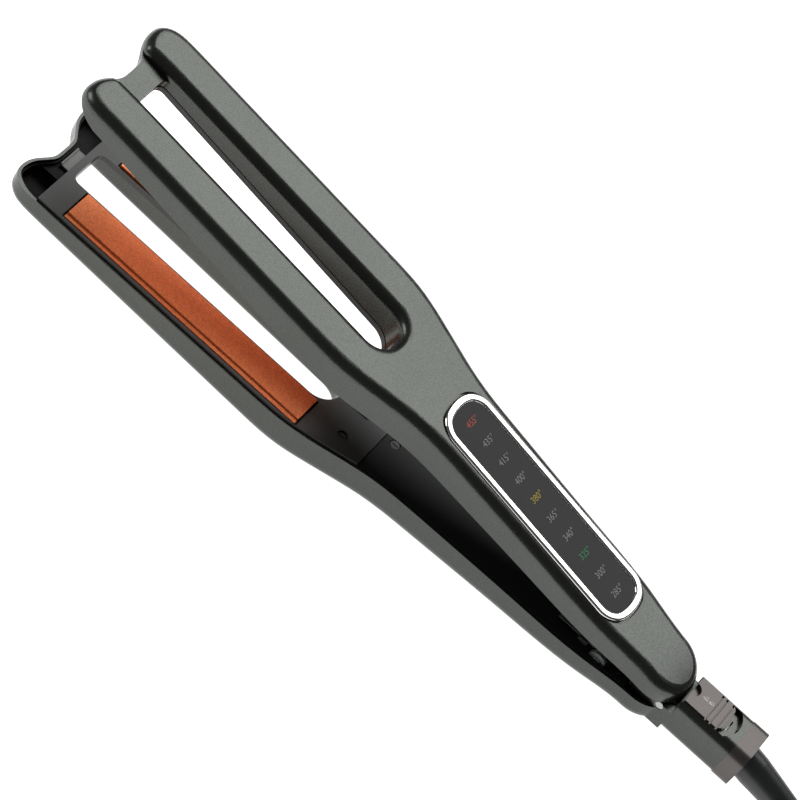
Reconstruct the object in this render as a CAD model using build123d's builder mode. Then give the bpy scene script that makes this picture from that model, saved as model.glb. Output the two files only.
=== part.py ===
from build123d import *
import math
import os

os.makedirs("parts", exist_ok=True)

# Twin-plate hair styling iron: two hinged arms, each with a slotted head that
# carries two floating ceramic plates.  Millimetres, +Z up, tip towards -X,
# mains lead towards +X.  The lower arm lies on the table with the arms open.

# Driving dimensions of one arm, in the arm's own frame: the hinge axis is the
# origin, Z = 0 is the plane where the closed arms meet, +Z points outwards.
OPEN_ANGLE = 8.8          # opening at rest, degrees
TIP_X = -274.0            # foremost point of the two prongs
BRIDGE_X = -268.5         # front face of the bridge that joins the prongs
HEAD_HALF = 26.0          # half width of the head
SLOT_HALF = 8.7           # half width of the slot between the prongs
SLOT_TIP_X = -259.5
SLOT_YOKE_X = -145.5
NOSE_R = 12.5             # rounded hinge end of each arm, in plan
NOSE_CENTRE_X = -9.0
RIM_Z = 2.0               # lower edge of the casing
CROWN_Z = 15.0            # highest point of the casing, at the yoke
WALL = 2.0
CORNER_R = 4.0            # rounding between the top and the sides
SLOT_CORNER_R = 3.4
SADDLE_Z = 6.6            # top of the bridge, a low saddle between the prongs
UNDERCUT_X = -262.0       # the upper arm's underside sweeps up ahead of this

# Heated plates
PLATE_LENGTH = 101.6
PLATE_YOKE_X = -150.0
PLATE_TIP_X = PLATE_YOKE_X - PLATE_LENGTH
PLATE_IN_Y = 9.4
PLATE_STEP_Y = 21.5
PLATE_OUT_Y = 23.3
PLATE_FACE_Z = 0.15
PLATE_BACK_Z = 2.2
PLATE_TRAVEL = 1.0
HEATER_BACK_Z = 4.4

# Inner frames and covers
FRAME_FACE_Z = 1.0
FRAME_BACK_Z = 3.2
FRAME_INSET = 1.2
FRAME_TIP_X = -262.0
FRAME_TAIL_X = -126.0
COVER_FACE_Z = 1.6
COVER_TAIL_X = -12.8
TROUGH_FLOOR_Z = 7.4
TROUGH_TOP_Z = 8.3

# Temperature panel on the upper handle
PANEL_START = (-18.0, 10.9)
PANEL_END = (-122.0, 14.67)
PANEL_CENTRE_X = -74.0
PANEL_LENGTH = 92.0
PANEL_WIDTH = 23.7
BEZEL_WIDTH = 2.95

# Hinge, tail and lead
PIN_R = 1.5
BARREL_R = 4.0
LUG_HALF = 5.4
FORK_HALF = 5.8
TAIL_HALF = 9.2
TAIL_BOTTOM = -8.5
TAIL_TOP = 7.5
TAIL_END_X = 27.0
COLLAR_LENGTH = 6.6
LOCK_TRAVEL = 3.0
BALL_R = 6.6
BALL_X = 28.0
BALL_Z = -0.5
RELIEF_TILT = 12.0
RELIEF_LENGTH = 40.0
CORD_R = 3.25

# Row frame: origin under the middle of the iron without its lead.
RELIEF_END_R = 4.1
tilt = math.radians(RELIEF_TILT)
END_X = BALL_X + RELIEF_LENGTH * math.cos(tilt) + RELIEF_END_R * math.sin(tilt)
PIVOT = Vector(-(TIP_X + END_X) / 2, 0, CROWN_Z)
UPPER = Location(PIVOT, (0, OPEN_ANGLE, 0))
LOWER = Location(PIVOT)


# ---------------------------------------------------------------- helpers
def write(part, name):
    part.label = name
    export_step(part, f"parts/{name}.step")


def place_upper(shape):
    return shape.moved(UPPER)


def place_lower(shape):
    return mirror(shape, about=Plane.XY).moved(LOWER)


def arm_outline(inset=0.0):
    """Half of the arm's plan outline, from the nose to the bridge."""
    with BuildLine() as edge:
        nose = CenterArc((NOSE_CENTRE_X, 0), NOSE_R - inset, 0, 90)
        side = Spline(
            nose @ 1,
            (-28, 14.4 - inset),
            (-60, 15.6 - inset),
            (-98, 16.4 - inset),
            (-118, 17.6 - inset),
            (-135, 21.4 - inset),
            (-150, 25.0 - inset),
            (-168, HEAD_HALF - inset),
            tangents=((-1, 0), (-1, 0)),
        )
        flank = Line(side @ 1, (-262, HEAD_HALF - inset))
        bow = Spline(
            flank @ 1,
            (TIP_X + 3.0 + inset, 24.0 - inset),
            (TIP_X + inset, 18.0),
            tangents=((-1, 0), (0, -1)),
        )
        Spline(
            bow @ 1,
            (TIP_X + 1.5 + inset, 11.8),
            (BRIDGE_X - 0.9 + inset, 6.8),
            (BRIDGE_X + inset, 0),
            tangents=((0, -1), (0, -1)),
        )
    return edge.line


def slot_outline(grow=0.0):
    half = SLOT_HALF + grow
    tip = SLOT_TIP_X - grow
    yoke = SLOT_YOKE_X - SLOT_HALF
    corner = 3.0
    with BuildSketch() as slot:
        with BuildLine():
            front = Line((tip, corner - half), (tip, half - corner))
            far_corner = RadiusArc(front @ 1, (tip + corner, half), corner)
            far = Line(far_corner @ 1, (yoke, half))
            end = ThreePointArc(far @ 1, (yoke + half, 0), (yoke, -half))
            near = Line(end @ 1, (tip + corner, -half))
            RadiusArc(near @ 1, front @ 0, corner)
        make_face()
    return slot.sketch


def arm_prism(low, high, inset, slot_grow=None, x_range=None):
    """The arm's plan shape between two heights, with or without its slot."""
    outline = arm_outline(inset)
    with BuildPart() as prism:
        with BuildSketch(Plane.XY.offset(low)):
            with BuildLine():
                add(outline)
                mirror(outline, about=Plane.XZ)
            make_face()
            if slot_grow is not None:
                add(slot_outline(slot_grow), mode=Mode.SUBTRACT)
            if x_range is not None:
                start, end = x_range
                with Locations(((start + end) / 2, 0)):
                    Rectangle(abs(end - start), 80, mode=Mode.INTERSECT)
        extrude(amount=high - low)
    return prism.part


def side_profile(drop, nose_z):
    """Side view of the casing: a straight grip, a crown at the yoke, a head that thins to the tip."""
    grip_slope = (PANEL_END[1] - PANEL_START[1]) / (PANEL_START[0] - PANEL_END[0])
    with BuildSketch(Plane.XZ) as side:
        with BuildLine():
            nose = Spline(
                (6, nose_z - drop),
                (PANEL_START[0], PANEL_START[1] - drop),
                tangents=((-1, 0.25), (-1, grip_slope)),
            )
            grip = Line(nose @ 1, (PANEL_END[0], PANEL_END[1] - drop))
            rise = Spline(grip @ 1, (-135, CROWN_Z - drop), tangents=((-1, grip_slope), (-1, 0)))
            crown = Line(rise @ 1, (-145, CROWN_Z - drop))
            fall = Spline(crown @ 1, (-165, 14.5 - drop), tangents=((-1, 0), (-1, -0.036)))
            head = Line(fall @ 1, (-255, 11.25 - drop))
            bow = Spline(head @ 1, (-278, 8.6 - drop), tangents=((-1, -0.036), (-1, -0.25)))
            Polyline(bow @ 1, (-278, -5), (6, -5), nose @ 0)
        make_face()
    return side.sketch


def rounded_body(inset, slot_grow, drop, low, nose_z, outer_r, slot_r):
    """A solid of the arm's full shape with its top edges rounded."""
    prism = arm_prism(low, 30, inset, slot_grow)
    profile = side_profile(drop, nose_z)
    gap = SLOT_HALF + slot_grow
    with BuildPart() as body:
        add(prism)
        extrude(profile, amount=40, both=True, mode=Mode.INTERSECT)
        box((TIP_X - 2, SLOT_TIP_X + 3.2), (-gap, gap), (SADDLE_Z - drop, 30), mode=Mode.SUBTRACT)
        top = body.faces().filter_by(
            lambda face: face.normal_at(face.center()).Z > 0.8 and face.center().Z > SADDLE_Z - drop + 0.3
        )
        rim = [
            edge
            for face in top
            for edge in face.edges()
            if sum(1 for other in top for twin in other.edges() if twin.is_same(edge)) == 1
        ]
        around_slot = [
            edge
            for edge in rim
            if abs(edge.center().Y) < gap + 0.5 and edge.center().X < SLOT_YOKE_X + 3
        ]
        outside = [edge for edge in rim if edge not in around_slot]
        fillet(outside, outer_r)
        fillet(around_slot, slot_r)
    return body.part


def box(x_range, y_range, z_range, mode=Mode.ADD):
    """A box between limits, added to the part that is being built."""
    centre = [(low + high) / 2 for low, high in (x_range, y_range, z_range)]
    with Locations(Vector(*centre)):
        Box(
            x_range[1] - x_range[0],
            y_range[1] - y_range[0],
            z_range[1] - z_range[0],
            mode=mode,
        )


def tip_sweep(back):
    """What is cut from under the tip, a sweep up from the rim to the prongs' ends."""
    with BuildSketch(Plane.XZ) as side:
        with BuildLine():
            sweep_line = Spline(
                (UNDERCUT_X + back, RIM_Z - 0.1),
                (UNDERCUT_X - 6.5 + back, 3.6),
                (UNDERCUT_X - 15 + back, 6.9),
            )
            Polyline(sweep_line @ 1, (TIP_X - 12, 6.9), (TIP_X - 12, -5), (UNDERCUT_X + back, -5), sweep_line @ 0)
        make_face()
    return side.sketch


def casing_blank(nose_z, swept_tip):
    """Thin moulded casing of one arm, open on its inner side."""
    outside = rounded_body(0, 0, 0, RIM_Z, nose_z, CORNER_R, SLOT_CORNER_R)
    inside = rounded_body(WALL, 1.6, WALL, RIM_Z - 1, nose_z, CORNER_R - WALL, SLOT_CORNER_R - 1.6)
    start = UNDERCUT_X - 0.1 if swept_tip else TIP_X - 2
    rebate = arm_prism(RIM_Z - 1, FRAME_BACK_Z + 0.2, FRAME_INSET - 0.1, None, (start, 10))
    outer_sweep = tip_sweep(0)
    inner_sweep = tip_sweep(3.2)
    with BuildPart() as hollow:
        add(inside)
        if swept_tip:
            extrude(inner_sweep, amount=40, both=True, mode=Mode.SUBTRACT)
    with BuildPart() as casing:
        add(outside)
        if swept_tip:
            extrude(outer_sweep, amount=40, both=True, mode=Mode.SUBTRACT)
        add(hollow.part, mode=Mode.SUBTRACT)
        add(rebate, mode=Mode.SUBTRACT)
    return casing.part


def post(x, y, radius, low, high, mode=Mode.ADD):
    with Locations((x, y, (low + high) / 2)):
        Cylinder(radius, high - low, mode=mode)


FRAME_SCREWS = [(-136.0, -13.0), (-136.0, 13.0)]
COVER_SCREWS = [(-121.5, 0.0), (-17.5, -8.2), (-17.5, 8.2)]
BOSS_TOP = {(-136.0, -13.0): 13.4, (-136.0, 13.0): 13.4, (-121.5, 0.0): 13.0}


def add_bosses():
    for x, y in FRAME_SCREWS + COVER_SCREWS:
        top = BOSS_TOP.get((x, y), 9.2)
        post(x, y, 2.2, FRAME_BACK_Z + 0.2, top)
        post(x, y, 0.9, FRAME_BACK_Z, FRAME_BACK_Z + 5, mode=Mode.SUBTRACT)


# ---------------------------------------------------------------- panel outline
PANEL_PLANE = Plane(
    origin=(
        PANEL_CENTRE_X,
        0,
        PANEL_START[1]
        + (PANEL_END[1] - PANEL_START[1])
        * (PANEL_CENTRE_X - PANEL_START[0])
        / (PANEL_END[0] - PANEL_START[0]),
    ),
    x_dir=(PANEL_START[0] - PANEL_END[0], 0, PANEL_START[1] - PANEL_END[1]),
    z_dir=(PANEL_END[1] - PANEL_START[1], 0, PANEL_START[0] - PANEL_END[0]),
)


def panel_outline(inset, lift):
    """Rounded oblong of the temperature panel, inset from the bezel's outer edge."""
    end = PANEL_LENGTH / 2 - inset
    half = PANEL_WIDTH / 2 - inset
    with BuildSketch(PANEL_PLANE.offset(lift)) as oblong:
        with BuildLine():
            far = Line((3 - end, half), (end - 3, half))
            tail = ThreePointArc(far @ 1, (end, 0), (end - 3, -half))
            near = Line(tail @ 1, (3 - end, -half))
            ThreePointArc(near @ 1, (-end, 0), far @ 0)
        make_face()
        fillet(oblong.vertices(), 8.4 - inset)
    return oblong.sketch


def panel_slab(inset, low, high):
    oblong = panel_outline(inset, low)
    with BuildPart() as slab:
        extrude(oblong, amount=high - low)
    return slab.part


# ---------------------------------------------------------------- casings
upper_blank = casing_blank(nose_z=8.2, swept_tip=True)
bezel_seat = panel_slab(0, -1.2, 5)
panel_hole = panel_slab(BEZEL_WIDTH + 1.0, -6, 5)
with BuildPart() as upper_shell:
    add(upper_blank)
    add_bosses()
    add(bezel_seat, mode=Mode.SUBTRACT)
    add(panel_hole, mode=Mode.SUBTRACT)
    box((-1, 5), (-LUG_HALF - 0.3, LUG_HALF + 0.3), (0, BARREL_R + 0.5), mode=Mode.SUBTRACT)
write(place_upper(upper_shell.part), "upper_shell")

lower_blank = casing_blank(nose_z=9.8, swept_tip=False)
with BuildPart() as lower_shell:
    add(lower_blank)
    add_bosses()
    box((-13, 8), (-TAIL_HALF - 0.05, TAIL_HALF + 0.05), (-1, -TAIL_BOTTOM + 0.05), mode=Mode.SUBTRACT)
write(place_lower(lower_shell.part), "lower_shell")


# ---------------------------------------------------------------- head frames
def head_frame(with_key):
    """Moulded frame that closes a head: a lip, two windows and a trough behind each."""
    blank = arm_prism(FRAME_FACE_Z, FRAME_BACK_Z, FRAME_INSET, -0.2, (FRAME_TIP_X, FRAME_TAIL_X))
    with BuildPart() as frame:
        add(blank)
        middle = (PLATE_IN_Y + PLATE_OUT_Y) / 2
        for side in (-1, 1):
            box(
                (PLATE_TIP_X - 1.2, PLATE_YOKE_X + 1.2),
                tuple(sorted((side * 10.6, side * 22.4))),
                (FRAME_BACK_Z, TROUGH_TOP_Z),
            )
            box(
                (PLATE_TIP_X, PLATE_YOKE_X),
                tuple(sorted((side * 11.4, side * 21.7))),
                (FRAME_BACK_Z - 3, TROUGH_FLOOR_Z),
                mode=Mode.SUBTRACT,
            )
            with Locations(((PLATE_TIP_X + PLATE_YOKE_X) / 2, side * middle, FRAME_FACE_Z + 1)):
                Box(PLATE_LENGTH + 1.6, PLATE_OUT_Y - PLATE_IN_Y + 0.6, 4.6, mode=Mode.SUBTRACT)
        for x, y in FRAME_SCREWS:
            post(x, y, 2.0, FRAME_FACE_Z - 1, FRAME_FACE_Z + 1.2, mode=Mode.SUBTRACT)
            post(x, y, 1.2, FRAME_FACE_Z, FRAME_BACK_Z + 1, mode=Mode.SUBTRACT)
        if with_key:
            with BuildSketch(Plane.XY.offset(FRAME_FACE_Z - 1.4)):
                with Locations((-139, 2.0)):
                    SlotOverall(11, 2.6)
            extrude(amount=1.6)
    return frame.part


write(place_upper(head_frame(with_key=False)), "upper_head_frame")
write(place_lower(head_frame(with_key=True)), "lower_head_frame")


# ---------------------------------------------------------------- handle covers
def handle_cover(spring_window):
    blank = arm_prism(COVER_FACE_Z, FRAME_BACK_Z, FRAME_INSET, None, (FRAME_TAIL_X + 0.3, COVER_TAIL_X))
    with BuildPart() as cover:
        add(blank)
        for x, y in COVER_SCREWS:
            post(x, y, 2.0, COVER_FACE_Z - 1, COVER_FACE_Z + 0.8, mode=Mode.SUBTRACT)
            post(x, y, 1.2, COVER_FACE_Z, FRAME_BACK_Z + 1, mode=Mode.SUBTRACT)
        if spring_window:
            box((-30.0, -20.4), (-11.6, 11.6), (0, 5), mode=Mode.SUBTRACT)
        # ribs that stiffen the inner side
        for x in (-50, -70, -90):
            box((x - 0.5, x + 0.5), (-12, 12), (FRAME_BACK_Z, FRAME_BACK_Z + 1.2))
    return cover.part


write(place_upper(handle_cover(spring_window=False)), "upper_handle_cover")
write(place_lower(handle_cover(spring_window=True)), "lower_handle_cover")


# ---------------------------------------------------------------- plates, heaters, cushions
def heated_plate(side):
    with BuildPart() as plate:
        with BuildSketch(Plane.YZ.offset(PLATE_TIP_X)):
            with BuildLine():
                Polyline(
                    (side * PLATE_IN_Y, PLATE_FACE_Z),
                    (side * PLATE_STEP_Y, PLATE_FACE_Z),
                    (side * PLATE_STEP_Y, PLATE_FACE_Z + 0.7),
                    (side * PLATE_OUT_Y, PLATE_FACE_Z + 0.7),
                    (side * PLATE_OUT_Y, PLATE_BACK_Z),
                    (side * PLATE_IN_Y, PLATE_BACK_Z),
                    close=True,
                )
            make_face()
        extrude(amount=PLATE_LENGTH)
        face_edges = plate.edges().filter_by(Axis.X).group_by(Axis.Z)[0]
        fillet(face_edges, 0.3)
    return plate.part


def heater(side):
    with BuildPart() as element:
        box((-240, -162), tuple(sorted((side * 12.6, side * 20.4))), (PLATE_BACK_Z, HEATER_BACK_Z))
    return element.part


def cushions(side):
    with BuildPart() as pads:
        for x in (-226, -176):
            box((x - 7, x + 7), tuple(sorted((side * 13.5, side * 19.5))), (HEATER_BACK_Z, TROUGH_FLOOR_Z))
    return pads.part


def sensor_bead(side, x):
    with BuildPart() as bead:
        with Locations(Location((x, side * 16.5, HEATER_BACK_Z + 0.9), (0, 90, 0))):
            Cylinder(0.9, 6)
    return bead.part


for side, word in ((-1, "near"), (1, "far")):
    write(place_upper(heated_plate(side)), f"upper_plate_{word}")
    write(place_lower(heated_plate(side)), f"lower_plate_{word}")
    write(place_upper(heater(side)), f"upper_heater_{word}")
    write(place_lower(heater(side)), f"lower_heater_{word}")
    write(place_upper(cushions(side)), f"upper_cushions_{word}")
    write(place_lower(cushions(side)), f"lower_cushions_{word}")

write(place_upper(sensor_bead(-1, -201)), "upper_thermistor")
write(place_lower(sensor_bead(-1, -201)), "lower_thermistor")
write(place_lower(sensor_bead(1, -201)), "thermal_fuse")


# ---------------------------------------------------------------- temperature panel
ring_blank = panel_slab(0, -1.2, 0.9)
ring_hole = panel_slab(BEZEL_WIDTH, -2, 2)
with BuildPart() as bezel_ring:
    add(ring_blank)
    add(ring_hole, mode=Mode.SUBTRACT)
    crown = bezel_ring.faces().filter_by(lambda face: face.normal_at(face.center()).Z > 0.95).sort_by(Axis.Z)[-1]
    chamfer(crown.edges(), 0.5)
write(place_upper(bezel_ring.part), "bezel_ring")

write(place_upper(panel_slab(BEZEL_WIDTH, -1.2, 0.3)), "display_window")
write(place_upper(panel_slab(BEZEL_WIDTH + 1.1, -3.0, -1.2)), "light_guide")

LAMP_PITCH = 8.1
LAMP_COUNT = 10

with BuildPart() as control_board:
    with BuildSketch(PANEL_PLANE.offset(-5.2)):
        Rectangle(84, 17)
    extrude(amount=1.2)
write(place_upper(control_board.part), "control_board")

with BuildPart() as indicator_lamps:
    with BuildSketch(PANEL_PLANE.offset(-4.0)):
        with GridLocations(LAMP_PITCH, 1, LAMP_COUNT, 1):
            Rectangle(2.4, 5.0)
    extrude(amount=0.9)
write(place_upper(indicator_lamps.part), "indicator_lamps")


# ---------------------------------------------------------------- lower handle electrics
with BuildPart() as power_board:
    box((-108, -42), (-10, 10), (6.4, 7.6))
    for x, y, length, width, height in (
        (-98, 0, 9, 12, 2.4),
        (-84, -4, 8, 6, 3.2),
        (-72, 3, 10, 8, 2.6),
        (-55, -2, 12, 9, 2.2),
    ):
        box((x - length / 2, x + length / 2), (y - width / 2, y + width / 2), (7.6, 7.6 + height))
write(place_lower(power_board.part), "power_board")


def wire_loom(start_x, z):
    """Two heat-proof leads from the handle out to the prongs."""
    with BuildPart() as loom:
        for side in (-1, 1):
            with BuildLine() as route:
                FilletPolyline(
                    (start_x, side * 3, z),
                    (-129, side * 5, z),
                    (-141.2, side * 8.5, 5.4),
                    (-143.4, side * 15.5, 5.2),
                    (PLATE_YOKE_X + 1.9, side * 17.0, 5.2),
                    radius=2.2,
                )
            with BuildSketch(Plane(origin=route.line @ 0, z_dir=route.line % 0)):
                Circle(1.1)
            sweep(path=route.line)
    return loom.part


write(place_upper(wire_loom(-117.5, 6.6)), "upper_wire_loom")
write(place_lower(wire_loom(-108.2, 5.0)), "lower_wire_loom")


# ---------------------------------------------------------------- screws
def screws(points, face_z):
    with BuildPart() as group:
        for x, y in points:
            post(x, y, 1.7, face_z + 0.1, face_z + 0.7)
            post(x, y, 0.9, face_z + 0.7, FRAME_BACK_Z + 4)
            box((x - 1.2, x + 1.2), (y - 0.2, y + 0.2), (face_z, face_z + 0.4), mode=Mode.SUBTRACT)
    return group.part


def arm_screws():
    frame_screws = screws(FRAME_SCREWS, FRAME_FACE_Z + 0.5)
    cover_screws = screws(COVER_SCREWS, COVER_FACE_Z + 0.1)
    with BuildPart() as group:
        add(frame_screws)
        add(cover_screws)
    return group.part


write(place_upper(arm_screws()), "upper_screws")
write(place_lower(arm_screws()), "lower_screws")

with BuildPart() as tip_clip:
    box((-266.0, -262.3), (-5, 5), (3.5, 4.1))
    box((-266.0, -265.4), (-5, 5), (2.9, 3.5))
write(place_lower(tip_clip.part), "tip_clip")


# ---------------------------------------------------------------- hinge
with BuildPart() as hinge_pin:
    with Locations(Location((0, 0, 0), (90, 0, 0))):
        Cylinder(PIN_R, 2 * TAIL_HALF - 0.4)
write(place_lower(hinge_pin.part), "hinge_pin")

with BuildPart() as hinge_bracket:
    with Locations(Location((0, 0, 0), (90, 0, 0))):
        Cylinder(BARREL_R, 2 * LUG_HALF)
    box((COVER_TAIL_X + 0.1, 0), (-LUG_HALF, LUG_HALF), (0.6, BARREL_R))
    box((-20, COVER_TAIL_X + 0.1), (-LUG_HALF, LUG_HALF), (FRAME_BACK_Z, FRAME_BACK_Z + 1.6))
    box((COVER_TAIL_X, COVER_TAIL_X + 1.5), (-LUG_HALF, LUG_HALF), (2, FRAME_BACK_Z + 1.6))
    with Locations(Location((0, 0, 0), (90, 0, 0))):
        Cylinder(PIN_R + 0.05, 2 * LUG_HALF + 1, mode=Mode.SUBTRACT)
write(place_upper(hinge_bracket.part), "hinge_bracket")

SPRING_X = -25.2
SPRING_Z = 2.2
SPRING_R = 3.3
LEG_Y = -8.0
LEG_Z = 0.9
with BuildPart() as spring_spindle:
    with Locations(Location((SPRING_X, 0, SPRING_Z), (90, 0, 0))):
        Cylinder(1.4, 23.0)
write(place_lower(spring_spindle.part), "spring_spindle")

with BuildPart() as opening_spring:
    with Locations(Location((SPRING_X, 0, SPRING_Z), (90, 0, 0))):
        Cylinder(SPRING_R, 18.0)
        Cylinder(1.5, 20.0, mode=Mode.SUBTRACT)
    with Locations(Location((SPRING_X - 10.5, LEG_Y, LEG_Z), (0, 90, 0))):
        Cylinder(0.6, 16.4)
write(place_lower(opening_spring.part), "opening_spring")

with BuildPart() as spring_block:
    box((-34.6, -30.8), (LEG_Y - 2, LEG_Y + 2), (COVER_FACE_Z - 1.9, COVER_FACE_Z))
    with Locations(Location((-32.5, LEG_Y, LEG_Z), (0, 90, 0))):
        Cylinder(0.65, 8, mode=Mode.SUBTRACT)
write(place_lower(spring_block.part), "spring_block")


# ---------------------------------------------------------------- tail, lock and swivel
def tail_section(half, low, high, corner):
    with BuildSketch(mode=Mode.PRIVATE) as section:
        with Locations((0, (low + high) / 2)):
            RectangleRounded(2 * half, high - low, corner)
    return section.sketch


LOCK_HALF = 6.4
LOCK_FRONT_X = 5.0
LOCK_LENGTH = 16.4
CHANNEL_END_X = LOCK_FRONT_X + LOCK_LENGTH + LOCK_TRAVEL + 0.4
CHANNEL_Z = 5.4
BALL = Vector(BALL_X, 0, BALL_Z)
SWIVEL_PLANE = Plane(origin=BALL, z_dir=(math.cos(tilt), 0, -math.sin(tilt)))

LOCK_GROOVES = [(8.6, 9.3), (10.5, 11.2), (13.2, 13.9), (15.1, LOCK_LENGTH + 0.1)]


def lock_outline(start, end, half):
    """Plan of the lock and of its channel: square in front, bowed at the tail end."""
    with BuildSketch() as plan:
        with BuildLine():
            near = Line((start, -half), (end - 3, -half))
            bow = ThreePointArc(near @ 1, (end, 0), (end - 3, half))
            Polyline(bow @ 1, (start, half), near @ 0)
        make_face()
    return plan.sketch


channel_plan = lock_outline(4, CHANNEL_END_X, LOCK_HALF + 0.35)
with BuildPart() as tail_housing:
    with BuildSketch(Plane.YZ.offset(4.7)):
        add(tail_section(TAIL_HALF, TAIL_BOTTOM, TAIL_TOP, 4.0))
    extrude(amount=TAIL_END_X - 4.7)
    box((-12.5, 4.7), (-TAIL_HALF, TAIL_HALF), (TAIL_BOTTOM, 1.2))
    box((-13, 4.6), (-FORK_HALF, FORK_HALF), (-5.2, 8), mode=Mode.SUBTRACT)
    with Locations(Location((0, 0, 0), (90, 0, 0))):
        Cylinder(PIN_R, 30, mode=Mode.SUBTRACT)
    with BuildSketch(Plane.XY.offset(CHANNEL_Z)):
        add(channel_plan)
    extrude(amount=4, mode=Mode.SUBTRACT)
    box((8, 22), (-2.5, 2.5), (CHANNEL_Z - 1.2, CHANNEL_Z), mode=Mode.SUBTRACT)
    box((10, TAIL_END_X + 1), (-3, 3), (-5, 1), mode=Mode.SUBTRACT)
    with Locations(BALL):
        Sphere(BALL_R + 0.35, mode=Mode.SUBTRACT)
write(tail_housing.part.moved(LOWER), "tail_housing")

lock_plan = lock_outline(LOCK_FRONT_X, LOCK_FRONT_X + LOCK_LENGTH, LOCK_HALF)
lock_top = TAIL_TOP + 0.25
lock_bottom = CHANNEL_Z + 0.12
with BuildPart() as lock_slider:
    with BuildSketch(Plane.XY.offset(lock_bottom)):
        add(lock_plan)
    extrude(amount=lock_top - lock_bottom)
    for start, end in LOCK_GROOVES:
        box(
            (LOCK_FRONT_X + start, LOCK_FRONT_X + end),
            (-LOCK_HALF - 1, LOCK_HALF + 1),
            (lock_top - 1.2, lock_top + 1),
            mode=Mode.SUBTRACT,
        )
    with Locations((LOCK_FRONT_X - 0.4, 0, lock_top)):
        Cylinder(3.0, 3.2, mode=Mode.SUBTRACT)
write(lock_slider.part.moved(LOWER), "lock_slider")

with BuildPart() as lock_detent_spring:
    box((8.5, 21.5), (-2, 2), (CHANNEL_Z - 1.1, CHANNEL_Z - 0.8))
    box((14, 16), (-2, 2), (CHANNEL_Z - 0.8, CHANNEL_Z - 0.1))
write(lock_detent_spring.part.moved(LOWER), "lock_detent_spring")

with BuildPart() as end_collar:
    with BuildSketch(Plane.YZ.offset(TAIL_END_X)):
        add(tail_section(TAIL_HALF + 0.3, TAIL_BOTTOM - 0.3, TAIL_TOP + 0.1, 4.2))
    extrude(amount=COLLAR_LENGTH)
    with Locations(BALL):
        Sphere(BALL_R + 0.35, mode=Mode.SUBTRACT)
    with Locations(SWIVEL_PLANE.location):
        Cylinder(6.65, 40, align=(Align.CENTER, Align.CENTER, Align.MIN), mode=Mode.SUBTRACT)
write(end_collar.part.moved(LOWER), "end_collar")

with BuildPart() as swivel_ball:
    with Locations(SWIVEL_PLANE.location):
        Sphere(BALL_R)
    with Locations(SWIVEL_PLANE.offset(-9).location):
        Cylinder(20, 5.5, align=(Align.CENTER, Align.CENTER, Align.MIN), mode=Mode.SUBTRACT)
    with Locations(SWIVEL_PLANE.offset(2.4).location):
        Cylinder(20, 8, align=(Align.CENTER, Align.CENTER, Align.MIN), mode=Mode.SUBTRACT)
write(swivel_ball.part.moved(LOWER), "swivel_ball")

with BuildPart() as strain_relief:
    with BuildSketch(Plane(origin=BALL, x_dir=(math.cos(tilt), 0, -math.sin(tilt)), z_dir=(0, -1, 0))):
        with BuildLine():
            Polyline(
                (2.4, 0),
                (2.4, 6.1),
                (10.0, 6.1),
                (26.0, 4.9),
                (RELIEF_LENGTH, RELIEF_END_R),
                (RELIEF_LENGTH, 0),
                close=True,
            )
        make_face()
    revolve(axis=Axis(BALL, (math.cos(tilt), 0, -math.sin(tilt))))
write(strain_relief.part.moved(LOWER), "strain_relief")


# ---------------------------------------------------------------- mains lead
# The lead falls from the relief to the table and runs to a tied hank in line
# with the iron.  The hank's solid is the outer shape of five long turns, two
# side by side in three layers, and the plug lies across the top of it.
TABLE_GAP = 0.05
TURN_PITCH = 2 * CORD_R + 0.1
HANK_RUN = 85.0
HANK_INNER_R = 19.5
HANK_OUTER_R = HANK_INNER_R + TURN_PITCH
HANK_BASE = 1.0
HANK_HEIGHT = 3 * TURN_PITCH
HANK_START = Vector(PIVOT.X + 142.0, -12.1, 0)
TIE_WIDTH = 9.0

AXIS_DOWN = Vector(math.cos(tilt), 0, -math.sin(tilt))
EXIT = PIVOT + BALL + AXIS_DOWN * RELIEF_LENGTH
LEAD_Z = CORD_R + TABLE_GAP

ROUTE = [
    EXIT,
    EXIT + AXIS_DOWN * 11,
    EXIT + Vector(25.5, 1.6, LEAD_Z - EXIT.Z),
    EXIT + Vector(40.4, 6.8, LEAD_Z - EXIT.Z + 0.5),
    EXIT + Vector(55.5, 11.6, LEAD_Z - EXIT.Z + 0.8),
    EXIT + Vector(67.0, 13.6, HANK_BASE + CORD_R - EXIT.Z),
]


def route_radii(points):
    """Each bend as large as its two runs allow."""
    radii = []
    for before, here, after in zip(points, points[1:], points[2:]):
        into = here - before
        out = after - here
        turn = math.radians(into.get_angle(out))
        radii.append(0.45 * min(into.length, out.length) / math.tan(turn / 2))
    return radii


RADII = route_radii(ROUTE)

with BuildPart() as mains_cord:
    with BuildLine() as lead:
        FilletPolyline(*ROUTE, radius=RADII)
    with BuildSketch(Plane(origin=lead.line @ 0, z_dir=lead.line % 0)):
        Circle(CORD_R)
    sweep(path=lead.line)
write(mains_cord.part, "mains_cord")

lead_length = sum(edge.length for edge in lead.line.edges())
lead_volume = math.pi * CORD_R**2 * lead_length
print("cord radii", [round(radius, 1) for radius in RADII])
print("lead length", round(lead_length, 1), "volume ratio", round(mains_cord.part.volume / lead_volume, 4))

with BuildPart() as cord_hank:
    with BuildSketch(Plane.XY.offset(HANK_BASE)):
        with Locations(HANK_START + Vector(HANK_RUN / 2, 0, 0)):
            SlotCenterToCenter(HANK_RUN, 2 * (HANK_OUTER_R + CORD_R + 0.05))
            SlotCenterToCenter(HANK_RUN, 2 * (HANK_INNER_R - CORD_R - 0.05), mode=Mode.SUBTRACT)
    extrude(amount=HANK_HEIGHT)
    fillet(cord_hank.faces().filter_by(Plane.XY).edges(), 2.8)
write(cord_hank.part, "cord_hank")

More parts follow.
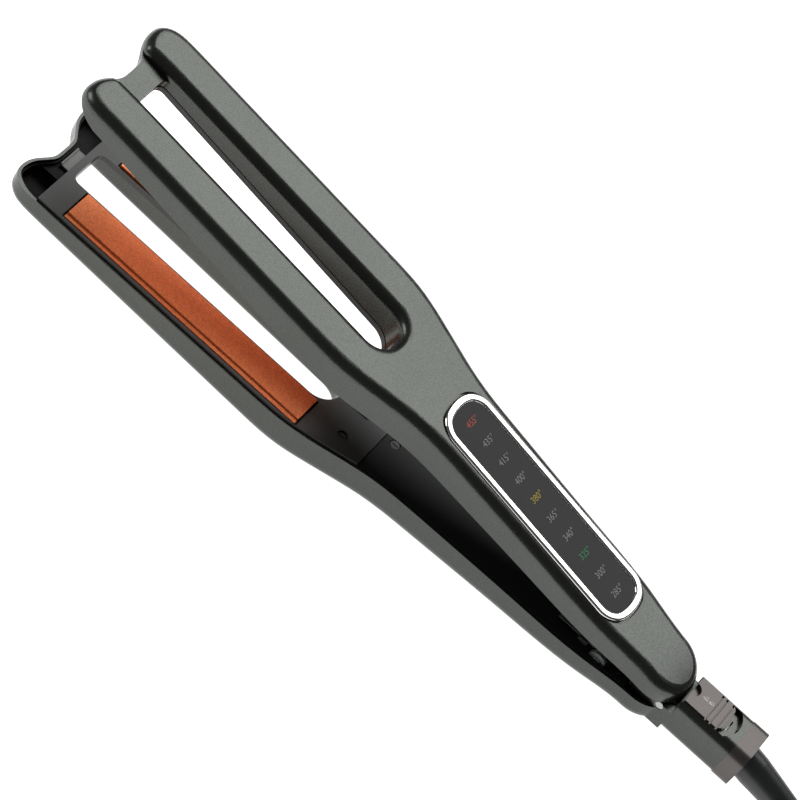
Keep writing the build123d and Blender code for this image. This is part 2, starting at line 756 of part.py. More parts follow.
with BuildPart() as cord_tie:
    with Locations(HANK_START + Vector(18, -(HANK_INNER_R + HANK_OUTER_R) / 2, HANK_BASE + HANK_HEIGHT / 2)):
        Box(TIE_WIDTH, 2 * TURN_PITCH + 2.4, HANK_HEIGHT + 2 * HANK_BASE - 0.1)
    add(cord_hank.part, mode=Mode.SUBTRACT)
write(cord_tie.part, "cord_tie")

PLUG_TURN = math.radians(-35)
PLUG_HALF = 12.5
PLUG_THICK = 17.0
PLUG_RELIEF = 24.0
PLUG_BODY = 27.0
PLUG_AXIS = Vector(math.cos(PLUG_TURN), math.sin(PLUG_TURN), 0)
PLUG_START = HANK_START + Vector(41.0, 10.1, HANK_BASE + HANK_HEIGHT + PLUG_THICK / 2 + 0.2)
PLUG_PLANE = Plane(origin=PLUG_START, x_dir=(-PLUG_AXIS.Y, PLUG_AXIS.X, 0), z_dir=PLUG_AXIS)

with BuildPart() as plug:
    with BuildSketch(PLUG_PLANE):
        Circle(CORD_R + 0.5)
    with BuildSketch(PLUG_PLANE.offset(PLUG_RELIEF)):
        Circle(5.6)
    loft()
    with BuildSketch(PLUG_PLANE.offset(PLUG_RELIEF)):
        RectangleRounded(15.0, 12.0, 4.5)
    with BuildSketch(PLUG_PLANE.offset(PLUG_RELIEF + PLUG_BODY - 8)):
        RectangleRounded(2 * PLUG_HALF, PLUG_THICK, 4.5)
    loft()
    with BuildSketch(PLUG_PLANE.offset(PLUG_RELIEF + PLUG_BODY - 8)):
        RectangleRounded(2 * PLUG_HALF, PLUG_THICK, 4.5)
    extrude(amount=8)
write(plug.part, "plug")

BLADE_PITCH = 12.7
BLADE_LENGTH = 17.0
with BuildPart() as plug_blades:
    with BuildSketch(PLUG_PLANE.offset(PLUG_RELIEF + PLUG_BODY)):
        with Locations((-BLADE_PITCH / 2, 0)):
            Rectangle(1.5, 6.3)
        with Locations((BLADE_PITCH / 2, 0)):
            Rectangle(1.5, 7.9)
    extrude(amount=BLADE_LENGTH)
write(plug_blades.part, "plug_blades")

print("pivot", PIVOT, "exit", EXIT, "hank", HANK_START, "plug", PLUG_START)
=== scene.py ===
from math import atan2, cos, pi, radians, sin

import bmesh
import bpy
from mathutils import Matrix, Vector
from mathutils.bvhtree import BVHTree


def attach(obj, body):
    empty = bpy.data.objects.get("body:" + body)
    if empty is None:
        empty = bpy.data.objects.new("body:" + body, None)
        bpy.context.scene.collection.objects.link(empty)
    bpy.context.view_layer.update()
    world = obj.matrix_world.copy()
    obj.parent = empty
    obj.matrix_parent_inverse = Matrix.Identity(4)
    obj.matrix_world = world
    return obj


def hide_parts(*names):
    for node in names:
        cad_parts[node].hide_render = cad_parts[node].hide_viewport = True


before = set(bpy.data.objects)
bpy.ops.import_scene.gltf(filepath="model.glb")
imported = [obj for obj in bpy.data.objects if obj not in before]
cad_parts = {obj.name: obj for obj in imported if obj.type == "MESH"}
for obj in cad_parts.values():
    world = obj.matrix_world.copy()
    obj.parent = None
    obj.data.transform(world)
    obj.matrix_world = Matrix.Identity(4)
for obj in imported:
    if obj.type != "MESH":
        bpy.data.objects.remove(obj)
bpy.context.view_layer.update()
MM = 0.001


# ---------------------------------------------------------------- camera
# The iron lies on a bench and is seen from above its near side, with the tips
# of both arms towards the far left, so the camera is rolled about its own axis.
VIEW_AZIMUTH = radians(3.92)
VIEW_ELEVATION = radians(47.5)
VIEW_ROLL = radians(39.1)
VIEW_DISTANCE = 1.5
VIEW_TARGET = Vector((-26.6, 0, 31.2)) * MM

view = Vector((
    -sin(VIEW_AZIMUTH) * cos(VIEW_ELEVATION),
    cos(VIEW_AZIMUTH) * cos(VIEW_ELEVATION),
    -sin(VIEW_ELEVATION),
))
camera = bpy.data.objects.new("camera", bpy.data.cameras.new("camera"))
camera.data.lens = 206.5
camera.data.clip_end = 20
camera.matrix_world = (
    Matrix.Translation(VIEW_TARGET - view * VIEW_DISTANCE)
    @ view.to_track_quat("-Z", "Y").to_matrix().to_4x4()
    @ Matrix.Rotation(VIEW_ROLL, 4, "Z")
)
bpy.context.collection.objects.link(camera)
bpy.context.scene.camera = camera


# ---------------------------------------------------------------- mains lead
# Round two-core mains lead, 6.5 mm across, sheathed in matt black PVC.  It
# drops from the strain relief to the bench and is put away as a tied hank.
def linear(hex_colour):
    """An sRGB hex colour as the linear values that a shader works in."""
    channels = [int(hex_colour[at:at + 2], 16) / 255 for at in (1, 3, 5)]
    return [c / 12.92 if c <= 0.04045 else ((c + 0.055) / 1.055) ** 2.4 for c in channels] + [1.0]


def add_node(tree, kind, inputs, **settings):
    """Adds a shader node, with its settings, and sets or links its sockets."""
    node = tree.nodes.new("ShaderNode" + kind)
    for name, value in settings.items():
        setattr(node, name, value)
    for socket, value in inputs.items():
        if isinstance(value, bpy.types.NodeSocket):
            tree.links.new(value, node.inputs[socket])
        else:
            node.inputs[socket].default_value = value
    return node


def start_material(name):
    """An empty material: its tree and the Object coordinates that its patterns use."""
    material = bpy.data.materials.new(name)
    material.use_nodes = True
    material.node_tree.nodes.clear()
    coordinates = add_node(material.node_tree, "TexCoord", {}).outputs["Object"]
    return material, material.node_tree, coordinates


def moulded(name, light, dark, grain, depth, roughness, **extra):
    """Moulded plastic or rubber: two close shades, a fine grain and a soft, uneven gloss.

    grain is the size of the mould's texture and depth its height, both in millimetres."""
    material, tree, coordinates = start_material(name)
    blotch = add_node(tree, "TexNoise", {"Vector": coordinates, "Scale": 1 / (14 * MM), "Detail": 3.0})
    shade = add_node(
        tree, "Mix", {0: blotch.outputs["Fac"], 6: linear(dark), 7: linear(light)}, data_type="RGBA"
    )
    texture = add_node(tree, "TexNoise", {"Vector": coordinates, "Scale": 1 / (grain * MM), "Detail": 2.0})
    gloss = add_node(
        tree,
        "MapRange",
        {"Value": texture.outputs["Fac"], 3: roughness - 0.05, 4: roughness + 0.05},
    )
    bump = add_node(tree, "Bump", {"Height": texture.outputs["Fac"], "Distance": depth * MM, "Strength": 0.6})
    shader = add_node(
        tree,
        "BsdfPrincipled",
        {
            "Base Color": shade.outputs[2],
            "Roughness": gloss.outputs[0],
            "Normal": bump.outputs[0],
            "IOR": 1.5,
            **extra,
        },
    )
    add_node(tree, "OutputMaterial", {"Surface": shader.outputs[0]})
    return material


CORD_RADIUS = 3.25
CORD_PITCH = 6.6
RELIEF_TILT = radians(12)
CORD_EXIT = Vector((170.137, 0, 6.18353))
HANK_START = Vector((245.011, -12.1, 0))
HANK_RUN = 85.0
HANK_OUTER_RADIUS = 26.1
HANK_LOWEST = 4.25
ARC_STEPS = 8
RUN_STEPS = 4

cord_route = [
    CORD_EXIT,
    CORD_EXIT + 11 * Vector((cos(RELIEF_TILT), 0, -sin(RELIEF_TILT))),
    Vector((195.637, 1.6, 3.3)),
    Vector((210.537, 6.8, 3.8)),
    Vector((225.637, 11.6, 4.1)),
    Vector((237.137, 13.6, 4.25)),
]


def ramp(place, start, end):
    return min(max((place - start) / (end - start), 0), 1)


# The lead is wound in long turns, two side by side and three high.  A turn has
# four sides: a run out, the far bend, a run back and the near bend.  Where a
# turn steps in, out or up, the turn that it moves into has just left.
for turn in range(5):
    for side in range(4):
        bend = side % 2 == 1
        steps = ARC_STEPS if bend else RUN_STEPS
        for step in range(steps):
            place = 4 * turn + side + step / steps
            inward = ramp(place, 2.5, 3.0) - ramp(place, 9.1, 9.9) + ramp(place, 16.0, 16.5)
            layer = ramp(place, 6.0, 6.5) + ramp(place, 12.5, 13.0)
            radius = HANK_OUTER_RADIUS - CORD_PITCH * inward
            along = [step / steps, 1, 1 - step / steps, 0][side] * HANK_RUN
            angle = pi / 2 - pi * ((side // 2) + (step / steps if bend else 0))
            # a control point on a bend stands outside the curve that it draws
            reach = radius / cos(pi / 2 / ARC_STEPS) if bend and step else radius
            cord_route.append(
                HANK_START
                + Vector((along + reach * cos(angle), reach * sin(angle), HANK_LOWEST + CORD_PITCH * layer))
            )

# The end rises over the hank and goes into the plug, which lies across it.
PLUG_TURN = radians(-35)
PLUG_AXIS = Vector((cos(PLUG_TURN), sin(PLUG_TURN), 0))
PLUG_START = HANK_START + Vector((41.0, 10.1, 29.5))
cord_route.append(HANK_START + Vector((2, 19.5, 17.6)))
cord_route.append(HANK_START + Vector((17, 19.9, 21.5)))
cord_route.append(PLUG_START - 11 * PLUG_AXIS + Vector((0, 0, -1.2)))
cord_route.append(PLUG_START + 0.5 * PLUG_AXIS)

cord_line = bpy.data.curves.new("mains_lead", "CURVE")
cord_line.dimensions = "3D"
cord_line.bevel_depth = CORD_RADIUS * MM
cord_line.bevel_resolution = 5
cord_line.resolution_u = 6
cord_line.use_fill_caps = True
spline = cord_line.splines.new("NURBS")
spline.points.add(len(cord_route) - 1)
for point, place in zip(spline.points, cord_route):
    point.co = (*(place * MM), 1)
spline.order_u = 3
spline.use_endpoint_u = True
mains_lead = bpy.data.objects.new("mains_lead", cord_line)
bpy.context.collection.objects.link(mains_lead)

# Extruded PVC: an even black skin, satin where it has been handled.
pvc_sheath = moulded("black_pvc_sheath", "#242424", "#1a1a1a", 0.5, 0.02, 0.42)
cord_line.materials.append(pvc_sheath)
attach(mains_lead, "lower_arm")
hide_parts("mains_cord", "cord_hank")


# ---------------------------------------------------------------- casings
# Each arm is a thin moulded ABS shell, sprayed with grey-green metallic paint
# under a satin lacquer.  The tail housing is moulded and painted with them.
def dress(material, *names):
    """Gives CAD nodes their finish."""
    for name in names:
        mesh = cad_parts[name].data
        mesh.materials.clear()
        mesh.materials.append(material)


def metallic_paint():
    """Metallic paint: aluminium flake that glitters finely under the lacquer's softer gloss.

    Real flake is some 0.05 mm across, too fine to show, so it is drawn at 0.3 mm."""
    material, tree, coordinates = start_material("metallic_paint_on_ABS")
    flake = add_node(tree, "TexVoronoi", {"Vector": coordinates, "Scale": 1 / (0.3 * MM)})
    glint = add_node(tree, "SeparateColor", {"Color": flake.outputs["Color"]})
    drift = add_node(tree, "TexNoise", {"Vector": coordinates, "Scale": 1 / (25 * MM), "Detail": 2.0})
    shade = add_node(
        tree, "Mix", {0: drift.outputs["Fac"], 6: linear("#444743"), 7: linear("#4b4e4a")}, data_type="RGBA"
    )
    sparkle = add_node(tree, "MapRange", {"Value": glint.outputs[0], 3: 0.9, 4: 1.12})
    glitter = add_node(
        tree,
        "Mix",
        {0: 1.0, 6: shade.outputs[2], 7: sparkle.outputs[0]},
        data_type="RGBA",
        blend_type="MULTIPLY",
    )
    gloss = add_node(tree, "MapRange", {"Value": glint.outputs[1], 3: 0.26, 4: 0.36})
    orange_peel = add_node(tree, "TexNoise", {"Vector": coordinates, "Scale": 1 / (1.6 * MM), "Detail": 1.0})
    skin = add_node(
        tree, "Bump", {"Height": orange_peel.outputs["Fac"], "Distance": 0.01 * MM, "Strength": 0.5}
    )
    shader = add_node(
        tree,
        "BsdfPrincipled",
        {
            "Base Color": glitter.outputs[2],
            "Metallic": 0.85,
            "Roughness": gloss.outputs[0],
            "Normal": skin.outputs[0],
            "Coat Weight": 0.25,
            "Coat Roughness": 0.12,
        },
    )
    add_node(tree, "OutputMaterial", {"Surface": shader.outputs[0]})
    return material


dress(metallic_paint(), "upper_shell", "lower_shell", "tail_housing")


OPEN_ANGLE = radians(8.8)
FACE_LIFT = 0.05
RIM_DEPTH = 0.3
CASING_REACH = 60.0


def paint_shade_inside(name, outward, material):
    """Gives a near-black material, painted shade, to the faces that the casing itself covers from outside,
    its rim excepted.
    """
    shell = bpy.data.objects[name]
    shell.data.materials.append(material)
    place = shell.matrix_world
    rim = max((place @ vert.co).dot(-outward) for vert in shell.data.vertices)
    tree = BVHTree.FromPolygons(
        [place @ vert.co for vert in shell.data.vertices],
        [face.vertices for face in shell.data.polygons],
    )
    for face in shell.data.polygons:
        normal = (place.to_3x3() @ face.normal).normalized()
        start = place @ face.center + normal * FACE_LIFT * MM
        faces_in = normal.dot(outward) < -0.9
        at_rim = faces_in and (place @ face.center).dot(-outward) > rim - RIM_DEPTH * MM
        if not at_rim and tree.ray_cast(start, outward, CASING_REACH * MM)[0]:
            face.material_index = len(shell.data.materials) - 1


# The hollows inside the casings are coloured near black with a weak gloss: painted shade in the recesses.
hollow_shade_black = moulded(
    "painted_hollow_shade", "#0d0e0e", "#090a0a", 0.6, 0.02, 0.6, **{"Specular IOR Level": 0.2}
)
paint_shade_inside("lower_shell", Vector((0, 0, -1)), hollow_shade_black)
paint_shade_inside("upper_shell", Matrix.Rotation(OPEN_ANGLE, 3, "Y") @ Vector((0, 0, 1)), hollow_shade_black)


# ---------------------------------------------------------------- head frames and inner covers
# The frames round the plates are heat-proof glass-filled nylon, and the covers
# that close the handles are plain ABS.  Both are moulded black with a fine grain.
dress(
    moulded("glass_filled_nylon", "#393b3a", "#2e302f", 0.7, 0.03, 0.4),
    "upper_head_frame",
    "lower_head_frame",
    "hinge_bracket",
    "spring_block",
)
dress(
    moulded("black_ABS", "#171918", "#101211", 0.6, 0.03, 0.5, **{"Specular IOR Level": 0.3}),
    "upper_handle_cover",
    "lower_handle_cover",
)


# ---------------------------------------------------------------- heated plates
# Extruded aluminium plates with a copper-coloured ceramic coating, sprayed on
# and polished: a warm satin metal with a mineral sparkle.
def ceramic_coat():
    """Copper ceramic coating: fine bright and dark grains in a satin copper ground.

    The grains are some 0.1 mm across, too fine to show, so they are drawn at 0.45 mm."""
    material, tree, coordinates = start_material("copper_ceramic_on_aluminium")
    grains = add_node(tree, "TexVoronoi", {"Vector": coordinates, "Scale": 1 / (0.45 * MM)})
    grain = add_node(tree, "SeparateColor", {"Color": grains.outputs["Color"]})
    wear = add_node(tree, "TexNoise", {"Vector": coordinates, "Scale": 1 / (18 * MM), "Detail": 3.0})
    ground = add_node(
        tree, "Mix", {0: wear.outputs["Fac"], 6: linear("#c86938"), 7: linear("#d67a48")}, data_type="RGBA"
    )
    contrast = add_node(tree, "MapRange", {"Value": grain.outputs[0], 3: 0.84, 4: 1.2})
    speckle = add_node(
        tree,
        "Mix",
        {0: 1.0, 6: ground.outputs[2], 7: contrast.outputs[0]},
        data_type="RGBA",
        blend_type="MULTIPLY",
    )
    polish = add_node(tree, "MapRange", {"Value": grain.outputs[1], 3: 0.3, 4: 0.42})
    shader = add_node(
        tree,
        "BsdfPrincipled",
        {"Base Color": speckle.outputs[2], "Metallic": 0.55, "Roughness": polish.outputs[0]},
    )
    add_node(tree, "OutputMaterial", {"Surface": shader.outputs[0]})
    return material


dress(ceramic_coat(), "upper_plate_near", "upper_plate_far", "lower_plate_near", "lower_plate_far")

# Behind each plate: an alumina heater and the silicone blocks that let it give.
dress(
    moulded("alumina_heater", "#d9d4c6", "#c9c2b0", 0.8, 0.02, 0.6),
    "upper_heater_near",
    "upper_heater_far",
    "lower_heater_near",
    "lower_heater_far",
)
dress(
    moulded("silicone_rubber", "#a8442f", "#96382a", 0.9, 0.02, 0.55, **{"Subsurface Weight": 0.1}),
    "upper_cushions_near",
    "upper_cushions_far",
    "lower_cushions_near",
    "lower_cushions_far",
)
dress(
    moulded("glass_bead", "#7d5a35", "#6b4a2a", 0.7, 0.01, 0.2),
    "upper_thermistor",
    "lower_thermistor",
    "thermal_fuse",
)


# ---------------------------------------------------------------- temperature panel
# A chromed ring frames a smoked acrylic window that shows the printed settings.
# The ring is moulded, plated and pressed into the casing from above.
PIVOT = Vector((103.011, 0, 15.0))
PANEL_CENTRE = Vector((-74.0, 0, 12.93))
PANEL_SLOPE = atan2(14.67 - 10.9, 104.0)
PANEL_LENGTH = 92.0
PANEL_WIDTH = 23.7
PANEL_BOW = 3.0
PANEL_CORNER = 6.6
BEZEL_WIDTH = 2.95
BEZEL_SUNK = 1.2
BEZEL_HEIGHT = 2.1
BEZEL_EDGE = 0.85

lower_place = Matrix.Translation(PIVOT * MM)
upper_place = lower_place @ Matrix.Rotation(OPEN_ANGLE, 4, "Y")
panel_place = upper_place @ Matrix.Translation(PANEL_CENTRE * MM) @ Matrix.Rotation(PANEL_SLOPE, 4, "Y")
AT_SCALE = Matrix.Scale(MM, 4)


def build(name, mesh, place, material, body, smooth=True):
    """Turns a bmesh in millimetres into a piece in its place, riding on a body."""
    bmesh.ops.remove_doubles(mesh, verts=mesh.verts, dist=0.001)
    bmesh.ops.recalc_face_normals(mesh, faces=mesh.faces)
    mesh.transform(place @ AT_SCALE)
    piece = bpy.data.objects.new(name, bpy.data.meshes.new(name))
    mesh.to_mesh(piece.data)
    mesh.free()
    if smooth:
        piece.data.shade_smooth()
        piece.data.set_sharp_from_angle(angle=radians(40))
    piece.data.materials.append(material)
    bpy.context.collection.objects.link(piece)
    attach(piece, body)
    return piece


def metal(name, colour, roughness, brushed=0.4):
    """Bare or plated metal, with faint marks of its making, brushed millimetres apart."""
    material, tree, coordinates = start_material(name)
    marks = add_node(tree, "TexNoise", {"Vector": coordinates, "Scale": 1 / (brushed * MM), "Detail": 3.0})
    gloss = add_node(
        tree, "MapRange", {"Value": marks.outputs["Fac"], 3: roughness * 0.8, 4: roughness * 1.2}
    )
    tint = add_node(tree, "MapRange", {"Value": marks.outputs["Fac"], 3: 0.92, 4: 1.05})
    shade = add_node(
        tree, "Mix", {0: 1.0, 6: linear(colour), 7: tint.outputs[0]}, data_type="RGBA", blend_type="MULTIPLY"
    )
    shader = add_node(
        tree,
        "BsdfPrincipled",
        {"Base Color": shade.outputs[2], "Metallic": 1.0, "Roughness": gloss.outputs[0]},
    )
    add_node(tree, "OutputMaterial", {"Surface": shader.outputs[0]})
    return material


def oblong(length, width, end_bow, corner):
    """A flat oblong with bowed ends and rounded corners."""
    mesh = bmesh.new()
    half_length, half_width = length / 2, width / 2
    places = [
        (-half_length, 0, 0),
        (end_bow - half_length, -half_width, 0),
        (half_length - end_bow, -half_width, 0),
        (half_length, 0, 0),
        (half_length - end_bow, half_width, 0),
        (end_bow - half_length, half_width, 0),
    ]
    points = [mesh.verts.new(place) for place in places]
    mesh.faces.new(points)
    for picked, reach in ((points[1:3] + points[4:6], corner), ([points[0], points[3]], 4.6)):
        bmesh.ops.bevel(
            mesh, geom=picked, offset=reach, segments=14, profile=0.5, affect="VERTICES", material=-1
        )
    return mesh


ring = oblong(PANEL_LENGTH, PANEL_WIDTH, PANEL_BOW, PANEL_CORNER)
face = ring.faces[:]
bmesh.ops.inset_region(ring, faces=face, thickness=BEZEL_WIDTH, use_even_offset=True, use_boundary=True)
bmesh.ops.delete(ring, geom=face, context="FACES_ONLY")
bottom = ring.faces[:]
raised = bmesh.ops.extrude_face_region(ring, geom=bottom)
top = [item for item in raised["geom"] if isinstance(item, bmesh.types.BMVert)]
bmesh.ops.translate(ring, verts=ring.verts[:], vec=(0, 0, -BEZEL_SUNK))
bmesh.ops.translate(ring, verts=top, vec=(0, 0, BEZEL_HEIGHT))
crown = {edge for vert in top for edge in vert.link_edges if all(v in top for v in edge.verts)}
rims = [edge for edge in crown if len(edge.link_faces) == 2 and abs(edge.calc_face_angle(0)) > 1]
bmesh.ops.bevel(ring, geom=rims, offset=BEZEL_EDGE, segments=5, profile=0.5, affect="EDGES", material=-1)
# Chromium plate over polished nickel: a mirror that only fine dust breaks up.
chrome = metal("chromium_plate", "#e9e7e5", 0.09)
chrome_ring = build("chrome_ring", ring, panel_place, chrome, "upper_arm")
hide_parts("bezel_ring")


def smoked_acrylic():
    """Smoked acrylic sheet: near black and hard polished, with drifting faint haze."""
    material, tree, coordinates = start_material("smoked_acrylic")
    haze = add_node(tree, "TexNoise", {"Vector": coordinates, "Scale": 1 / (40 * MM), "Detail": 1.0})
    shade = add_node(
        tree, "Mix", {0: haze.outputs["Fac"], 6: linear("#1c1c1d"), 7: linear("#262627")}, data_type="RGBA"
    )
    dust = add_node(tree, "TexNoise", {"Vector": coordinates, "Scale": 1 / (0.6 * MM), "Detail": 2.0})
    gloss = add_node(tree, "MapRange", {"Value": dust.outputs["Fac"], 3: 0.08, 4: 0.16})
    shader = add_node(
        tree,
        "BsdfPrincipled",
        {
            "Base Color": shade.outputs[2],
            "Roughness": gloss.outputs[0],
            "IOR": 1.49,
            "Specular IOR Level": 0.12,
        },
    )
    add_node(tree, "OutputMaterial", {"Surface": shader.outputs[0]})
    return material


dress(smoked_acrylic(), "display_window")

# Printed settings, in degrees, read from the near side.  Three are tinted: the
# hottest red, one yellow and one of the mildest green.
SETTINGS = (455, 435, 415, 400, 380, 365, 340, 325, 300, 285)
TINTS = {
    455: ("red_print", "#d4502c"),
    380: ("yellow_print", "#c9b02b"),
    325: ("green_print", "#1d9a5b"),
}
SETTING_PITCH = 8.1
PRINT_HEIGHT = 3.3
PRINT_LIFT = 0.32


def print_ink(name, colour):
    """Pad-printed ink: an even matt film."""
    material, tree, coordinates = start_material(name)
    cover = add_node(tree, "TexNoise", {"Vector": coordinates, "Scale": 1 / (0.5 * MM), "Detail": 2.0})
    density = add_node(tree, "MapRange", {"Value": cover.outputs["Fac"], 3: 0.85, 4: 1.1})
    shade = add_node(
        tree,
        "Mix",
        {0: 1.0, 6: linear(colour), 7: density.outputs[0]},
        data_type="RGBA",
        blend_type="MULTIPLY",
    )
    shader = add_node(tree, "BsdfPrincipled", {"Base Color": shade.outputs[2], "Roughness": 0.55})
    add_node(tree, "OutputMaterial", {"Surface": shader.outputs[0]})
    return material


grey_print = print_ink("grey_print", "#9a9a9a")
for index, setting in enumerate(SETTINGS):
    text = bpy.data.curves.new("text", "FONT")
    text.body = f"{setting}\u00b0"
    text.size = PRINT_HEIGHT
    text.align_x, text.align_y = "CENTER", "CENTER"
    text.resolution_u = 3
    holder = bpy.data.objects.new("text", text)
    flat = bpy.data.meshes.new_from_object(holder)
    letters = bmesh.new()
    letters.from_mesh(flat)
    across = (index - (len(SETTINGS) - 1) / 2) * SETTING_PITCH
    letters.transform(
        Matrix.Translation((across, 0.4, PRINT_LIFT)) @ Matrix.Rotation(pi / 2, 4, "Z")
    )
    ink = print_ink(*TINTS[setting]) if setting in TINTS else grey_print
    build(f"setting_{setting}", letters, panel_place, ink, "upper_arm", smooth=False)
    bpy.data.objects.remove(holder)

# Under the window: light guide, lamps and control board, and the power board in the other handle.
dress(moulded("opal_acrylic", "#e6e4dd", "#dcd9d0", 1.2, 0.01, 0.3), "light_guide")
dress(moulded("lamp_epoxy", "#efe9c4", "#e2dbb0", 1.0, 0.01, 0.25), "indicator_lamps")
dress(moulded("green_circuit_board", "#2c6b43", "#20563a", 1.5, 0.03, 0.35), "control_board", "power_board")
dress(
    moulded("glass_sleeved_wire", "#d8d2c2", "#c6bfac", 0.5, 0.08, 0.7),
    "upper_wire_loom",
    "lower_wire_loom",
)


# ---------------------------------------------------------------- screws, clip and pin
# Blackened steel screws hold the frames and covers.  The hinge pin is turned and
# the lock's spring wound from zinc-plated steel; the bridge's clip is grey nylon.
zinc = metal("zinc_plated_steel", "#a9aaa8", 0.32)
dress(
    moulded("blackened_steel_screw", "#2a2a2a", "#1f1f1f", 0.4, 0.01, 0.4),
    "upper_screws",
    "lower_screws",
)
dress(zinc, "hinge_pin", "lock_detent_spring")
dress(moulded("grey_nylon", "#8b8d8a", "#7c7e7b", 0.6, 0.03, 0.45), "tip_clip")


# ---------------------------------------------------------------- opening spring
# Torsion spring of black-oxide wire wound round a spindle at the hinge end.
# Its straight leg runs forward through a small block on the lower cover.
SPRING_CENTRE = Vector((-25.2, 0, -2.2))
SPRING_RADIUS = 2.65
WIRE_RADIUS = 0.62
SPRING_HALF = 8.2
SPRING_TURNS = 12
STEPS_PER_TURN = 20
LEG_CENTRE = Vector((-35.7, -8.0, -0.9))
LEG_RADIUS = 0.6
LEG_LENGTH = 16.4
SPINDLE_RADIUS = 1.4
SPINDLE_LENGTH = 23.0
CAP_RADIUS = 3.3
CAP_THICKNESS = 1.8
CAP_OFFSET = 10.2
CAP_EDGE = 0.25
black_wire = metal("black_oxide_steel", "#5a5c5b", 0.35)

# The wire's round section is drawn flat, stood across the winding and spun along it.
coil = bmesh.new()
across_the_wire = Matrix.Rotation(pi, 4, "Y") @ Matrix.Rotation(pi / 2, 4, "X")
first_turn = Matrix.Translation((SPRING_RADIUS, -SPRING_HALF, 0))
bmesh.ops.create_circle(coil, segments=10, radius=WIRE_RADIUS, matrix=first_turn @ across_the_wire)
coil_steps = STEPS_PER_TURN * SPRING_TURNS
bmesh.ops.spin(
    coil,
    geom=coil.verts[:] + coil.edges[:],
    cent=(0, 0, 0),
    axis=(0, 1, 0),
    dvec=(0, 2 * SPRING_HALF / coil_steps, 0),
    angle=2 * pi * SPRING_TURNS,
    steps=coil_steps,
)
bmesh.ops.holes_fill(coil, edges=[edge for edge in coil.edges if edge.is_boundary])
bmesh.ops.translate(coil, verts=coil.verts[:], vec=SPRING_CENTRE)
bmesh.ops.create_cone(
    coil, cap_ends=True, segments=12, radius1=LEG_RADIUS, radius2=LEG_RADIUS, depth=LEG_LENGTH,
    matrix=Matrix.Translation(LEG_CENTRE) @ Matrix.Rotation(pi / 2, 4, "Y"),
)
spring_piece = build("torsion_spring", coil, lower_place, black_wire, "lower_arm")
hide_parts("opening_spring")

spindle = bmesh.new()
along_the_spindle = Matrix.Rotation(pi / 2, 4, "X")
for radius, length, aside in (
    (SPINDLE_RADIUS, SPINDLE_LENGTH, 0),
    (CAP_RADIUS, CAP_THICKNESS, -CAP_OFFSET),
    (CAP_RADIUS, CAP_THICKNESS, CAP_OFFSET),
):
    bmesh.ops.create_cone(
        spindle, cap_ends=True, segments=48, radius1=radius, radius2=radius, depth=length,
        matrix=Matrix.Translation(SPRING_CENTRE + Vector((0, aside, 0))) @ along_the_spindle,
    )
bmesh.ops.bevel(
    spindle,
    geom=[edge for edge in spindle.edges if edge.calc_face_angle(0) > 1],
    offset=CAP_EDGE, segments=3, profile=0.5, affect="EDGES", material=-1,
)
capped_spindle = build(
    "capped_spindle", spindle, lower_place,
    moulded("grey_acetal", "#5c5f5d", "#515452", 0.6, 0.02, 0.35), "lower_arm",
)
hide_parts("spring_spindle")


# ---------------------------------------------------------------- lock and end collar
# The sliding lock and the collar are moulded in ABS under a warm grey metallic lacquer.
# The lock carries two small pad-printed padlocks with arrows.
warm_grey = moulded(
    "warm_grey_lacquer_on_ABS", "#5f5a58", "#534f4d", 0.6, 0.02, 0.32, **{"Metallic": 0.6}
)
dress(warm_grey, "lock_slider", "end_collar")

LOCK_ICON_X = (10.2, 12.1)
LOCK_TOP_Z = 7.76
PADLOCK_BODY = (1.3, 1.1)
SHACKLE_RADIUS = 0.52
SHACKLE_HOLE = 0.6
SHACKLE_RISE = 0.6
SHACKLE_SHIFT = 0.5
ARROW_BACK = 0.85
ARROW_TIP = 1.45
ARROW_HALF = 0.5


def padlock(open_shackle, arrow):
    """A padlock seen flat, its shackle to the far side and an arrow head beside it."""
    mesh = bmesh.new()
    bmesh.ops.create_grid(mesh, size=0.5, matrix=Matrix.Diagonal((*PADLOCK_BODY, 1, 1)))
    hoop = bmesh.ops.create_circle(mesh, segments=20, radius=SHACKLE_RADIUS)["verts"]
    loop = list({edge for vert in hoop for edge in vert.link_edges})
    wide = bmesh.ops.extrude_edge_only(mesh, edges=loop)
    inner = [item for item in wide["geom"] if isinstance(item, bmesh.types.BMVert)]
    bmesh.ops.scale(mesh, verts=inner, vec=(SHACKLE_HOLE, SHACKLE_HOLE, 1))
    sideways = SHACKLE_SHIFT * arrow if open_shackle else 0
    bmesh.ops.translate(mesh, verts=hoop + inner, vec=(sideways, SHACKLE_RISE, 0))
    head = [mesh.verts.new((arrow * ARROW_BACK, y, 0)) for y in (-ARROW_HALF, ARROW_HALF)]
    head.append(mesh.verts.new((arrow * ARROW_TIP, 0, 0)))
    mesh.faces.new(head)
    return mesh


white_print = print_ink("white_print", "#efedea")
for word, x, open_shackle, arrow in (
    ("locked", LOCK_ICON_X[0], False, -1),
    ("unlocked", LOCK_ICON_X[1], True, 1),
):
    icon = padlock(open_shackle, arrow)
    icon.transform(Matrix.Translation((x, 0, LOCK_TOP_Z)))
    build(f"{word}_print", icon, lower_place, white_print, "lock", smooth=False)


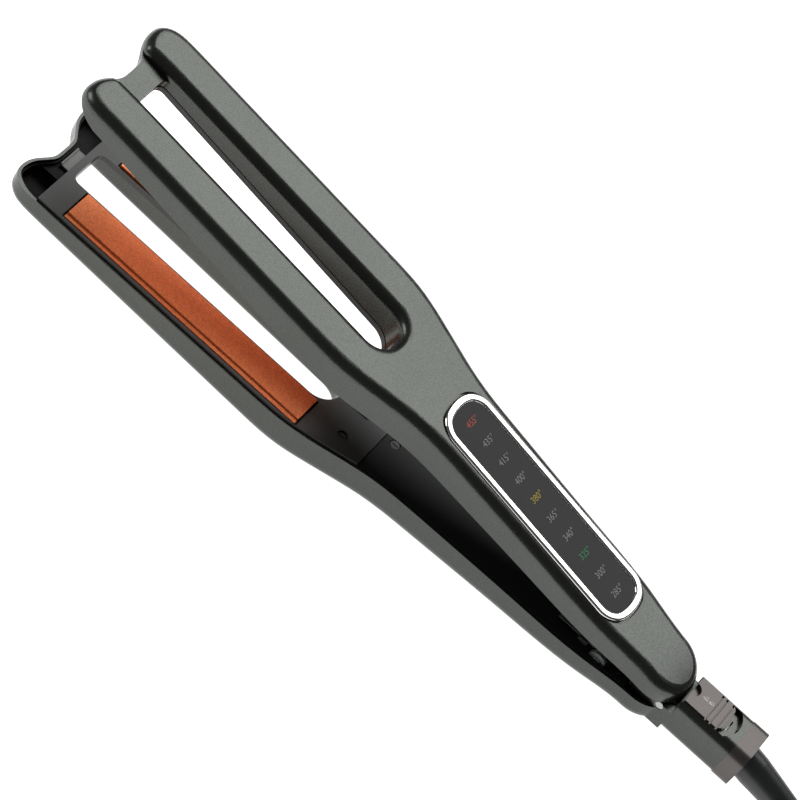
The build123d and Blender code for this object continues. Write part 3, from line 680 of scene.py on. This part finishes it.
# ---------------------------------------------------------------- strain relief and plug
# Soft PVC moulded round the lead: the relief swivels on its ball, the plug is
# moulded over brass blades, and a hook-and-loop strap holds the hank.
soft_pvc = moulded("soft_black_PVC", "#343536", "#282a2a", 0.8, 0.03, 0.36)
dress(soft_pvc, "strain_relief", "swivel_ball", "plug")
dress(metal("brass", "#c9a35a", 0.25), "plug_blades")
dress(moulded("woven_strap", "#26272a", "#17181a", 0.9, 0.25, 0.85), "cord_tie")


# ---------------------------------------------------------------- bench and light
# A glowing white bench that lights the iron's sides, one large softbox behind the
# iron for its flat tops, and a smaller one beyond the tips.
BENCH_GLOW = 1.05
WORLD_GLOW = 0.08
BACK_WATTS = 36
SIDE_WATTS = 14

floor = bpy.data.objects.new("floor", bpy.data.meshes.new("floor"))
sheet = bmesh.new()
bmesh.ops.create_grid(sheet, size=6)
sheet.to_mesh(floor.data)
sheet.free()
bpy.context.collection.objects.link(floor)
light_table = moulded(
    "white_light_table", "#fbfbfb", "#f8f8f8", 4, 0.0, 0.9, **{"Emission Strength": BENCH_GLOW}
)
light_table.node_tree.nodes["Principled BSDF"].inputs["Emission Color"].default_value = (1, 1, 1, 1)
floor.data.materials.append(light_table)


def softbox(name, place, size, power):
    """A rectangular softbox that points at the middle of the bench."""
    light = bpy.data.objects.new(name, bpy.data.lights.new(name, "AREA"))
    light.data.shape = "RECTANGLE"
    light.data.size, light.data.size_y = size
    light.data.energy = power
    aim = (-Vector(place)).to_track_quat("-Z", "Y").to_matrix().to_4x4()
    light.matrix_world = Matrix.Translation(place) @ aim
    bpy.context.collection.objects.link(light)


softbox("back_softbox", (0.0, 1.7, 1.9), (2.6, 1.3), BACK_WATTS)
softbox("side_softbox", (-2.2, -0.6, 1.1), (1.2, 1.0), SIDE_WATTS)
bpy.context.scene.view_settings.view_transform = "Standard"
world = bpy.data.worlds.new("studio")
bpy.context.scene.world = world
world.use_nodes = True
world.node_tree.nodes["Background"].inputs[0].default_value = (1, 1, 1, 1)
world.node_tree.nodes["Background"].inputs[1].default_value = WORLD_GLOW
